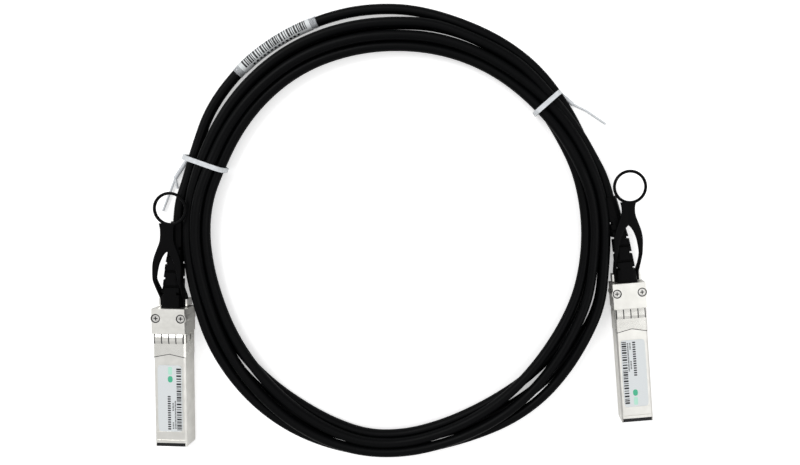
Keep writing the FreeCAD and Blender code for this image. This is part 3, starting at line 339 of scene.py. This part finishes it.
MATERIALS = {
    "casting": satin_metal("casting_metal", (0.77, 0.76, 0.72), (0.84, 0.83, 0.79), 0.36, 0.46, 900.0),
    "screw": satin_metal("screw_metal", (0.60, 0.59, 0.57), (0.78, 0.77, 0.74), 0.26, 0.36, 2500.0),
    "collar": satin_metal("collar_metal", (0.74, 0.73, 0.69), (0.82, 0.81, 0.77), 0.24, 0.34, 700.0,
                          (1, 12, 1)),
    "slider": satin_metal("slider_metal", (0.78, 0.77, 0.74), (0.88, 0.87, 0.84), 0.26, 0.36, 1200.0,
                          (1, 8, 1)),
    "spring": satin_metal("spring_metal", (0.58, 0.58, 0.58), (0.72, 0.72, 0.72), 0.18, 0.3, 1500.0),
    "ferrule": satin_metal("ferrule_metal", (0.58, 0.44, 0.26), (0.74, 0.58, 0.36), 0.25, 0.4, 900.0),
    "contact": satin_metal("contact_gold", (0.80, 0.60, 0.26), (0.90, 0.70, 0.34), 0.16, 0.28, 1800.0),
    "print": plastic("print_black", (0.012, 0.012, 0.014), (0.02, 0.02, 0.024), 0.4, 0.5, 4000.0, 0.0),
    "green_mark": plastic("print_green", (0.05, 0.42, 0.24), (0.07, 0.48, 0.28), 0.4, 0.5, 4000.0, 0.0),
    "pale_mark": plastic("print_pale_green", (0.42, 0.74, 0.60), (0.48, 0.78, 0.64), 0.4, 0.5, 4000.0,
                         0.0),
    "shadow": plastic("shadow_gap", (0.010, 0.010, 0.011), (0.016, 0.016, 0.017), 0.6, 0.7, 4000.0, 0.0),
    "label": plastic("label_stock", (0.66, 0.69, 0.70), (0.70, 0.73, 0.74), 0.40, 0.5, 3000.0, 0.05),
    "dust_plug": plastic("dust_plug_plastic", (0.004, 0.004, 0.005), (0.007, 0.007, 0.008), 0.34, 0.44,
                         2500.0, 0.1, 0.3),
    "card": plastic("card_mask", (0.02, 0.15, 0.06), (0.03, 0.21, 0.09), 0.22, 0.34, 1500.0, 0.08),
    "chip": plastic("chip_mould", (0.02, 0.02, 0.02), (0.035, 0.035, 0.035), 0.5, 0.62, 4000.0),
    "capacitor": plastic("capacitor_ceramic", (0.38, 0.28, 0.18), (0.50, 0.38, 0.26), 0.4, 0.5, 4000.0),
    "wire": plastic("wire_sheath", (0.62, 0.66, 0.72), (0.74, 0.77, 0.82), 0.3, 0.4, 2500.0, 0.05),
    "jacket": plastic("jacket_black", (0.0012, 0.0013, 0.0015), (0.0022, 0.0024, 0.0028), 0.38, 0.46,
                      1800.0, 0.08, 0.06),
    "tab": plastic("tab_plastic", (0.0012, 0.0012, 0.0014), (0.0022, 0.0022, 0.0025), 0.36, 0.46, 2600.0,
                   0.1, 0.05),
    "boot": plastic("boot_rubber", (0.0012, 0.0012, 0.0014), (0.0022, 0.0022, 0.0025), 0.42, 0.52, 2400.0,
                    0.1, 0.05),
}


def clear_plastic(name, colour, rough, alpha_low, alpha_high, scale):
    """A thin milky plastic: see-through in patches, glossy on top."""
    surface = Surface(name, colour, rough)
    value = surface.ramp(surface.noise(scale, 3.0), alpha_low, alpha_high)
    surface.link(value, surface.shader.inputs["Alpha"])
    surface.bump(surface.noise(scale * 2, 2.0), 0.1, 0.00005)
    return surface.material


MATERIALS["tie"] = clear_plastic("tie_plastic", (0.72, 0.745, 0.77), 0.22, 0.80, 0.97, 600.0)
MATERIALS["film"] = clear_plastic("clear_film", (0.80, 0.83, 0.86), 0.12, 0.18, 0.34, 500.0)

SLOTS = {row["node"]: row["material_slot"] for row in frame["record"]["subparts"]}
for node, item in NODES.items():
    material = MATERIALS[SLOTS[node]]
    if item.data.materials:
        for index in range(len(item.data.materials)):
            item.data.materials[index] = material
    else:
        item.data.materials.append(material)


def dress(item, finish, body="cable"):
    """Gives a piece its finish and its body."""
    item.data.materials.clear()
    item.data.materials.append(MATERIALS[finish])
    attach(item, body)
    return item


# ---------------------------------------------------------------- pieces drawn as surfaces


def shell(name, grids, turn_smooth=40):
    """One mesh from grids of points, in metres.

    Each grid's rows follow each other along the piece, its columns close round it, and flat faces
    close its first and last row.
    """
    points, faces, start = [], [], 0
    for grid in grids:
        grid = np.asarray(grid, float)
        count, around = grid.shape[:2]
        index = start + np.arange(count * around).reshape(count, around)
        after = np.roll(index, -1, axis=1)
        faces += np.stack([index[:-1], after[:-1], after[1:], index[1:]], -1).reshape(-1, 4).tolist()
        faces += [index[0][::-1].tolist(), index[-1].tolist()]
        points.append(grid.reshape(-1, 3))
        start += count * around
    mesh = bpy.data.meshes.new(name)
    mesh.from_pydata(np.concatenate(points).tolist(), [], faces)
    shape = bmesh.new()
    shape.from_mesh(mesh)
    bmesh.ops.recalc_face_normals(shape, faces=shape.faces)
    shape.to_mesh(mesh)
    shape.free()
    mesh.polygons.foreach_set("use_smooth", np.ones(len(mesh.polygons), bool))
    mesh.set_sharp_from_angle(angle=math.radians(turn_smooth))
    item = bpy.data.objects.new(name, mesh)
    SCENE.collection.objects.link(item)
    return item


def laid(end, points):
    """Points in a plug's own millimetres, turned and moved to where the plug lies, in metres."""
    x, y, turn = PLUGS[end]
    turn = math.radians(turn)
    across, along, height = np.moveaxis(np.asarray(points, float), -1, 0)
    return np.stack([x + across * np.cos(turn) - along * np.sin(turn),
                     y + across * np.sin(turn) + along * np.cos(turn), height], -1) * MM


def round_box(power, count):
    """Points of a round-cornered square one across: a circle with cosine and sine to 2 / power."""
    angle = np.linspace(0, 2 * np.pi, count, endpoint=False) + np.pi / count
    both = np.stack([np.cos(angle), np.sin(angle)], -1)
    return np.sign(both) * np.abs(both) ** (2 / power)


def slab(middle, size, low, high, power=12, count=24):
    """A flat piece from low to high with a round-cornered outline of that size about its middle."""
    outline = np.asarray(middle) + round_box(power, count) * np.asarray(size) / 2
    return np.stack([np.column_stack([outline, np.full(count, level)]) for level in (low, high)])


def flow(at, knots, window=0.08):
    """A smooth run through knots (place, value): straight lines, averaged over a short window."""
    places, values = np.asarray(knots, float).T
    reach = window * (places[-1] - places[0]) / 2
    steps = np.linspace(-reach, reach, 9)
    return np.interp(np.asarray(at)[:, None] + steps, places, values).mean(axis=1)


# Each strap's lean to one side, and its ring's centre behind the rear face and beside the strap.
TAB = {"a": (0.017, 42.6, 1.3), "b": (0.06, 40.6, 0.8)}
TAB_START, ROOT_END = 0.6, 4.7
STRAP_LOW, STRAP_TOP = 9.5, 10.8
# The ring's middle radius and its bar's half width.
RING = (6.5, 0.64)
RING_FLAT = 0.9


def pull_tab(end):
    """The pull tab: two bowed arms over the boot that join in a strap, and the finger ring.

    An arm is a round-cornered box carried back along the plug. Its inner and outer edge, underside
    and top are smooth runs of the way back, and the two arms overlap where they make the strap.
    """
    lean, ring_at, aside = TAB[end]
    middle, bar = RING
    stop = ring_at - middle + 0.35
    at = np.concatenate([np.linspace(TAB_START, 22, 70), np.linspace(22.2, 25.4, 26),
                         np.linspace(25.6, stop, 40)])
    outer = flow(at, [(0, 5.3), (4.7, 5.35), (8.5, 5.7), (13, 6.0), (18.5, 6.12), (22, 5.5), (25.5, 4.2),
                      (28.5, 3.0), (30.5, 2.75), (stop - 3, 2.75), (stop - 1, 2.95), (stop, 3.5)])
    inner = flow(at, [(0, 4.0), (4.7, 4.05), (8, 4.6), (12, 4.5), (16, 3.9), (19, 3.3), (22, 2.1),
                      (23.6, 1.1), (24.6, 0.1), (25.2, -0.8), (stop, -0.8)], 0.04)
    low = flow(at, [(0, 2.0), (4.4, 2.0), (13.4, STRAP_LOW), (60, STRAP_LOW)], 0.03)
    high = flow(at, [(0, 5.6), (3.2, 5.7), (12.2, STRAP_TOP), (60, STRAP_TOP)], 0.04)
    drift = lean * np.maximum(0, at - ROOT_END)
    corner = round_box(4.5, 20)
    grids = []
    for side, lift in ((1, 0.0), (-1, -0.02)):
        across = ((side * (inner + outer) / 2 + drift)[:, None]
                  + corner[:, 0] * ((outer - inner) / 2)[:, None])
        height = ((low + high) / 2 + lift)[:, None] + corner[:, 1] * ((high - low) / 2)[:, None]
        along = REAR + np.broadcast_to(at[:, None], across.shape)
        grids.append(laid(end, np.stack([across, along, height], -1)))
    item = shell("tab_moulding_" + end, grids)
    centre = (lean * (ring_at - ROOT_END) + aside, REAR + ring_at, (STRAP_LOW + STRAP_TOP) / 2)
    add_mesh(item, ring_bar(end, centre, middle, bar))
    return item


def ring_bar(end, centre, middle, bar):
    """The finger ring: centre + (middle + bar cos v) (cos u, sin u), and 0.9 bar sin v up."""
    u = np.linspace(0, 2 * np.pi, 96, endpoint=False)[:, None]
    v = np.linspace(0, 2 * np.pi, 14, endpoint=False)[None, :]
    points = np.stack([centre[0] + (middle + bar * np.cos(v)) * np.cos(u),
                       centre[1] + (middle + bar * np.cos(v)) * np.sin(u),
                       centre[2] + bar * RING_FLAT * np.sin(v) + 0 * u], -1)
    points = laid(end, points)
    count, around = points.shape[:2]
    index = np.arange(count * around).reshape(count, around)
    after = np.roll(index, -1, axis=1)
    faces = np.stack([index, after, np.roll(after, -1, axis=0), np.roll(index, -1, axis=0)], -1)
    mesh = bpy.data.meshes.new("ring")
    mesh.from_pydata(points.reshape(-1, 3).tolist(), [], faces.reshape(-1, 4)[:, ::-1].tolist())
    return mesh


def add_mesh(item, extra):
    """Adds a mesh to a piece's own mesh, with the normals of both turned outwards."""
    shape = bmesh.new()
    shape.from_mesh(item.data)
    shape.from_mesh(extra)
    bmesh.ops.recalc_face_normals(shape, faces=shape.faces)
    shape.to_mesh(item.data)
    shape.free()
    bpy.data.meshes.remove(extra)
    item.data.polygons.foreach_set("use_smooth", np.ones(len(item.data.polygons), bool))


# The label's middle along the plug, its size, its underside and its face.
LABEL_AT = 21.5
LABEL_SIZE = (10.4, 29.3)
LABEL_LOW, LABEL_TOP = 8.9, 9.0
PRINT_SINK, PRINT_RISE = 0.01, 0.012
# Rows of dashes: how far across, how wide, how long, and where each dash starts.
DASHES = [(-0.4, 1.3, 0.62, np.arange(-13.8, 1.4, 1.02)), (1.25, 0.62, 0.36, np.arange(-13.4, -10.6, 0.62)),
          (1.25, 0.62, 0.36, np.arange(-5.4, -1.9, 0.62)), (2.25, 0.62, 0.36, np.arange(-13.4, -1.2, 0.6))]


def bars(count, first, last):
    """Places and widths of a row of bars between two ends: a fixed rhythm of thin, middle and thick."""
    step = np.arange(count)
    weight = 1 + 1.8 * ((step * 5 + step // 3) % 4) / 3
    gap = 0.8 + 0.8 * ((step * 3 + step // 4) % 3) / 2
    edge = np.concatenate([[0], np.cumsum(weight + gap)])
    scale = (last - first) / (edge[-1] - gap[-1])
    return first + scale * (edge[:-1] + weight / 2), scale * weight


def housing_label(end):
    """The label on the housing with a row of bars, three rows of dashes and two green spots on it."""
    facing = 1 if end == "a" else -1

    def mark(across, along, wide, long, power=8, count=16):
        """One printed mark, by its middle and size on the label."""
        return laid(end, slab((facing * across, LABEL_AT + facing * along), (wide, long),
                              LABEL_TOP - PRINT_SINK, LABEL_TOP + PRINT_RISE, power, count))

    paper = shell("label_paper_" + end, [laid(end, slab((0, LABEL_AT), LABEL_SIZE, LABEL_LOW,
                                                          LABEL_TOP, 14, 48))])
    dress(paper, "label", "cable")
    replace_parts(paper, "housing_label_" + end)
    places, widths = bars(27, -14.0, 13.3)
    marks = [mark(3.85, place, 2.0, width, 30, 12) for place, width in zip(places, widths)]
    for across, wide, long, starts in DASHES:
        marks += [mark(across, start + long / 2, wide, long) for start in starts]
    dress(shell("label_print_" + end, marks), "print", "cable")
    dress(shell("label_green_" + end, [mark(0.2, 8.5, 2.1, 2.8, 2.4, 24)]), "green_mark", "cable")
    dress(shell("label_pale_" + end, [mark(0.2, 12.2, 1.7, 3.4, 6, 24)]), "pale_mark", "cable")


SCREW_PLACES, SCREW_AT = (-5.3, 5.3), 56.5
CROSS_LONG, CROSS_WIDE, CROSS_LOW, CROSS_TOP = 1.75, 0.42, 9.5, 9.57
# The painted shade ring round a head, which stands for the counterbore's shade, as its section's corners:
# (radius, height).
SCREW_SHADE_RING = [(1.55, 9.0), (1.93, 9.0), (1.93, 9.44), (1.55, 9.44)]
# The collar: half its width, its front edge and the V's depth; then the painted shade strip along the V
# seam: its width and its heights.
COLLAR_HALF, COLLAR_FRONT, COLLAR_NOTCH, SEAM_SHADE, SEAM_SHADE_LOW, SEAM_SHADE_TOP = 6.55, 39.45, 1.4, 0.28, 8.9, 9.13
# Painted shade in the fingers' gaps: the fingers' pitch, each dark gap's size, the gaps' middle along the
# plug and their top.
FINGER_PITCH, FINGER_GAP_SHADE, FINGER_AT, FINGER_TOP = 3.05, (0.42, 4.1), 47.5, 9.2


def screw_shade_inlays(end):
    """Painted shade for each screw head, as thin dark inlays: the shade in its cross recess, and the
    counterbore's shade in a ring round it.

    The ring is its section turned about the screw: (across + r cos w, along + r sin w, height).
    """
    # Painted shade: dark slabs for the shade in each cross recess.
    cross = [laid(end, slab((across, SCREW_AT), size, CROSS_LOW, CROSS_TOP, 6, 16))
             for across in SCREW_PLACES
             for size in ((CROSS_LONG, CROSS_WIDE), (CROSS_WIDE, CROSS_LONG))]
    dress(shell("screw_cross_shade_" + end, cross), "shadow", "cable")
    # Painted shade: a dark ring for the counterbore's shade round each head.
    turn = np.linspace(0, 2 * np.pi, 48, endpoint=False)
    for number, across in enumerate(SCREW_PLACES):
        rows = np.stack([np.column_stack([across + radius * np.cos(turn), SCREW_AT + radius * np.sin(turn),
                                          np.full(48, height)]) for radius, height in SCREW_SHADE_RING])
        dress(shell(f"screw_ring_shade_{end}_{number}", [laid(end, rows)]), "shadow", "cable")


def collar_shade_inlays(end):
    """Painted shade as thin dark inlays: a strip along the collar's front edge, which is a shallow V, and
    the shade in its fingers' gaps.
    """
    tip = COLLAR_FRONT + COLLAR_NOTCH
    grids = []
    # Painted shade: a dark strip along each half of the V seam.
    for side in (1, -1):
        outline = np.array([(0, tip), (side * COLLAR_HALF, COLLAR_FRONT),
                            (side * COLLAR_HALF, COLLAR_FRONT + SEAM_SHADE), (0, tip + SEAM_SHADE)])
        grids.append(laid(end, np.stack([np.column_stack([outline, np.full(4, level)])
                                         for level in (SEAM_SHADE_LOW, SEAM_SHADE_TOP)])))
    # Painted shade: a dark slab in each gap between the fingers.
    for number in range(-2, 3):
        grids.append(laid(end, slab((number * FINGER_PITCH, FINGER_AT), FINGER_GAP_SHADE, SEAM_SHADE_LOW,
                                    FINGER_TOP, 8, 12)))
    dress(shell("collar_seam_shade_" + end, grids), "shadow", "cable")


# ---------------------------------------------------------------- wrap on the lead


def along_cable(first, last, count):
    """Evenly spaced points of the cable's line between two angles near its first end, and tangents."""
    near = CABLE_LINE[: len(CABLE_LINE) // 8]
    angle = np.degrees(np.arctan2(near[:, 1] - COIL[1] * MM, near[:, 0] - COIL[0] * MM)) % 360
    order = np.argsort(angle)
    wanted = np.linspace(first, last, count)
    line = np.stack([np.interp(wanted, angle[order], near[order, axis]) for axis in range(3)], -1)
    way = np.gradient(line, axis=0)
    return line, way / np.linalg.norm(way, axis=1)[:, None]


def sleeve(first, last, inner, outer, start=0.0, stop=2 * np.pi, count=40, around=36):
    """A sleeve round the cable between two angles.

    A point is line + radius (cos w side + sin w up), where side is level and square to the line. The
    section is the outer arc from start to stop and back along the inner one.
    """
    line, way = along_cable(first, last, count)
    side = np.cross(way, (0.0, 0.0, 1.0))
    side /= np.linalg.norm(side, axis=1)[:, None]
    up = np.cross(side, way)
    turn = np.linspace(start, stop, around)
    turn, radius = (np.concatenate([turn, turn[::-1]]),
                    np.concatenate([np.full(around, outer), np.full(around, inner)]) * MM)
    return (line[:, None] + (radius * np.cos(turn))[None, :, None] * side[:, None]
            + (radius * np.sin(turn))[None, :, None] * up[:, None])


# The label's two ends round the coil, its clear ends' reach, and the side of the lead the bars face.
WRAP = (112.8, 133.8)
WRAP_CLEAR = 1.7
OUTWARD = math.radians(88)
# Radii round the cable's line: the sleeves' inside, the label, the clear ends, and the print.
SLEEVE_IN, LABEL_OUT, CLEAR_OUT, PRINT_IN, PRINT_OUT = 2.14, 2.44, 2.42, 2.4, 2.455


def wrap_pieces():
    """The paper label and its clear ends round the lead, with bars across it and a row of dashes."""
    first, last = WRAP
    label = dress(shell("wrap_paper", [sleeve(first, last, SLEEVE_IN, LABEL_OUT)]), "label")
    film = dress(shell("wrap_clear_ends", [sleeve(first - WRAP_CLEAR, first, SLEEVE_IN, CLEAR_OUT),
                                           sleeve(last, last + WRAP_CLEAR, SLEEVE_IN, CLEAR_OUT)]),
                 "film")
    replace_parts(label, "wrap_label")
    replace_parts(film, "wrap_film")
    places, widths = bars(30, first + 1.1, last - 1.1)
    marks = [sleeve(place - width / 2, place + width / 2, PRINT_IN, PRINT_OUT, OUTWARD - 0.95,
                    OUTWARD + 0.75, 3, 14) for place, width in zip(places, widths)]
    marks += [sleeve(start, start + 0.62, PRINT_IN, PRINT_OUT, OUTWARD + 0.95, OUTWARD + 1.35, 3, 8)
              for start in np.arange(first + 3.5, last - 3.0, 1.15)]
    return [label, film, dress(shell("wrap_print", marks), "print", "cable")]


dress(cable, "jacket")
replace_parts(cable, "lead_a", "coil", "lead_b")
wrap = wrap_pieces()
for plug in "ab":
    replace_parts(dress(pull_tab(plug), "tab", "latch_" + plug), "pull_tab_" + plug)
    housing_label(plug)
    screw_shade_inlays(plug)
    collar_shade_inlays(plug)

# ---------------------------------------------------------------- stage


def floor_material():
    """A pale floor that a camera sees as white paper, and that keeps the object's soft shadow."""
    surface = Surface("floor_paper", (0.86, 0.86, 0.86), 0.9)
    surface.shader.inputs["Specular IOR Level"].default_value = 0.0
    tree = surface.tree
    path = tree.nodes.new("ShaderNodeLightPath")
    glow = tree.nodes.new("ShaderNodeEmission")
    glow.inputs["Color"].default_value = (1.0, 1.0, 1.0, 1.0)
    glow.inputs["Strength"].default_value = 0.45
    add = tree.nodes.new("ShaderNodeAddShader")
    mix = tree.nodes.new("ShaderNodeMixShader")
    output = tree.nodes["Material Output"]
    surface.link(surface.shader.outputs["BSDF"], add.inputs[0])
    surface.link(glow.outputs["Emission"], add.inputs[1])
    surface.link(path.outputs["Is Camera Ray"], mix.inputs[0])
    surface.link(surface.shader.outputs["BSDF"], mix.inputs[1])
    surface.link(add.outputs["Shader"], mix.inputs[2])
    surface.link(mix.outputs["Shader"], output.inputs["Surface"])
    surface.mottle((0.855, 0.855, 0.855), (0.865, 0.865, 0.865), surface.noise(6.0, 2.0))
    return surface.material


floor_mesh = bpy.data.meshes.new("floor")
floor_mesh.from_pydata([(-6, -6, 0), (6, -6, 0), (6, 6, 0), (-6, 6, 0)], [], [(0, 1, 2, 3)])
floor_item = bpy.data.objects.new("floor", floor_mesh)
floor_mesh.materials.append(floor_material())
SCENE.collection.objects.link(floor_item)


def studio():
    """Even white light all round, and plain white for what looks straight at it or through a film.

    What shines sees a bright ceiling that falls off to grey walls.
    """
    world = bpy.data.worlds.new("world")
    world.use_nodes = True
    tree = world.node_tree
    plain = tree.nodes["Background"]
    plain.inputs["Color"].default_value = (1.0, 1.0, 1.0, 1.0)
    plain.inputs["Strength"].default_value = 0.6
    mirrored = tree.nodes.new("ShaderNodeBackground")
    where = tree.nodes.new("ShaderNodeTexCoord")
    parts = tree.nodes.new("ShaderNodeSeparateXYZ")
    fall = tree.nodes.new("ShaderNodeMapRange")
    path = tree.nodes.new("ShaderNodeLightPath")
    mix = tree.nodes.new("ShaderNodeMixShader")
    white = tree.nodes.new("ShaderNodeBackground")
    white.inputs["Color"].default_value = (1.0, 1.0, 1.0, 1.0)
    seen = tree.nodes.new("ShaderNodeMath")
    seen.operation = "MAXIMUM"
    last = tree.nodes.new("ShaderNodeMixShader")
    for name, value in (("From Min", 0.15), ("From Max", 0.85), ("To Min", 0.4), ("To Max", 1.0)):
        fall.inputs[name].default_value = value
    join = tree.links.new
    join(where.outputs["Generated"], parts.inputs[0])
    join(parts.outputs["Z"], fall.inputs["Value"])
    join(fall.outputs["Result"], mirrored.inputs["Strength"])
    join(path.outputs["Is Glossy Ray"], mix.inputs[0])
    join(plain.outputs[0], mix.inputs[1])
    join(mirrored.outputs[0], mix.inputs[2])
    join(path.outputs["Is Camera Ray"], seen.inputs[0])
    join(path.outputs["Is Transmission Ray"], seen.inputs[1])
    join(seen.outputs[0], last.inputs[0])
    join(mix.outputs[0], last.inputs[1])
    join(white.outputs[0], last.inputs[2])
    join(last.outputs[0], tree.nodes["World Output"].inputs["Surface"])
    return world


SCENE.world = studio()


def area_lamp(name, place, target, size, watts):
    """A soft square lamp that faces a point."""
    data = bpy.data.lights.new(name, "AREA")
    data.shape = "SQUARE"
    data.size = size
    data.energy = watts
    item = bpy.data.objects.new(name, data)
    item.location = place
    item.rotation_euler = (Vector(target) - Vector(place)).to_track_quat("-Z", "Y").to_euler()
    SCENE.collection.objects.link(item)


area_lamp("key", (-0.55, 0.55, 0.85), (0, 0.03, 0), 0.6, 5.5)
area_lamp("fill", (0.7, -0.1, 0.7), (0, 0.03, 0), 0.7, 2.5)

SCENE.view_settings.view_transform = "Standard"
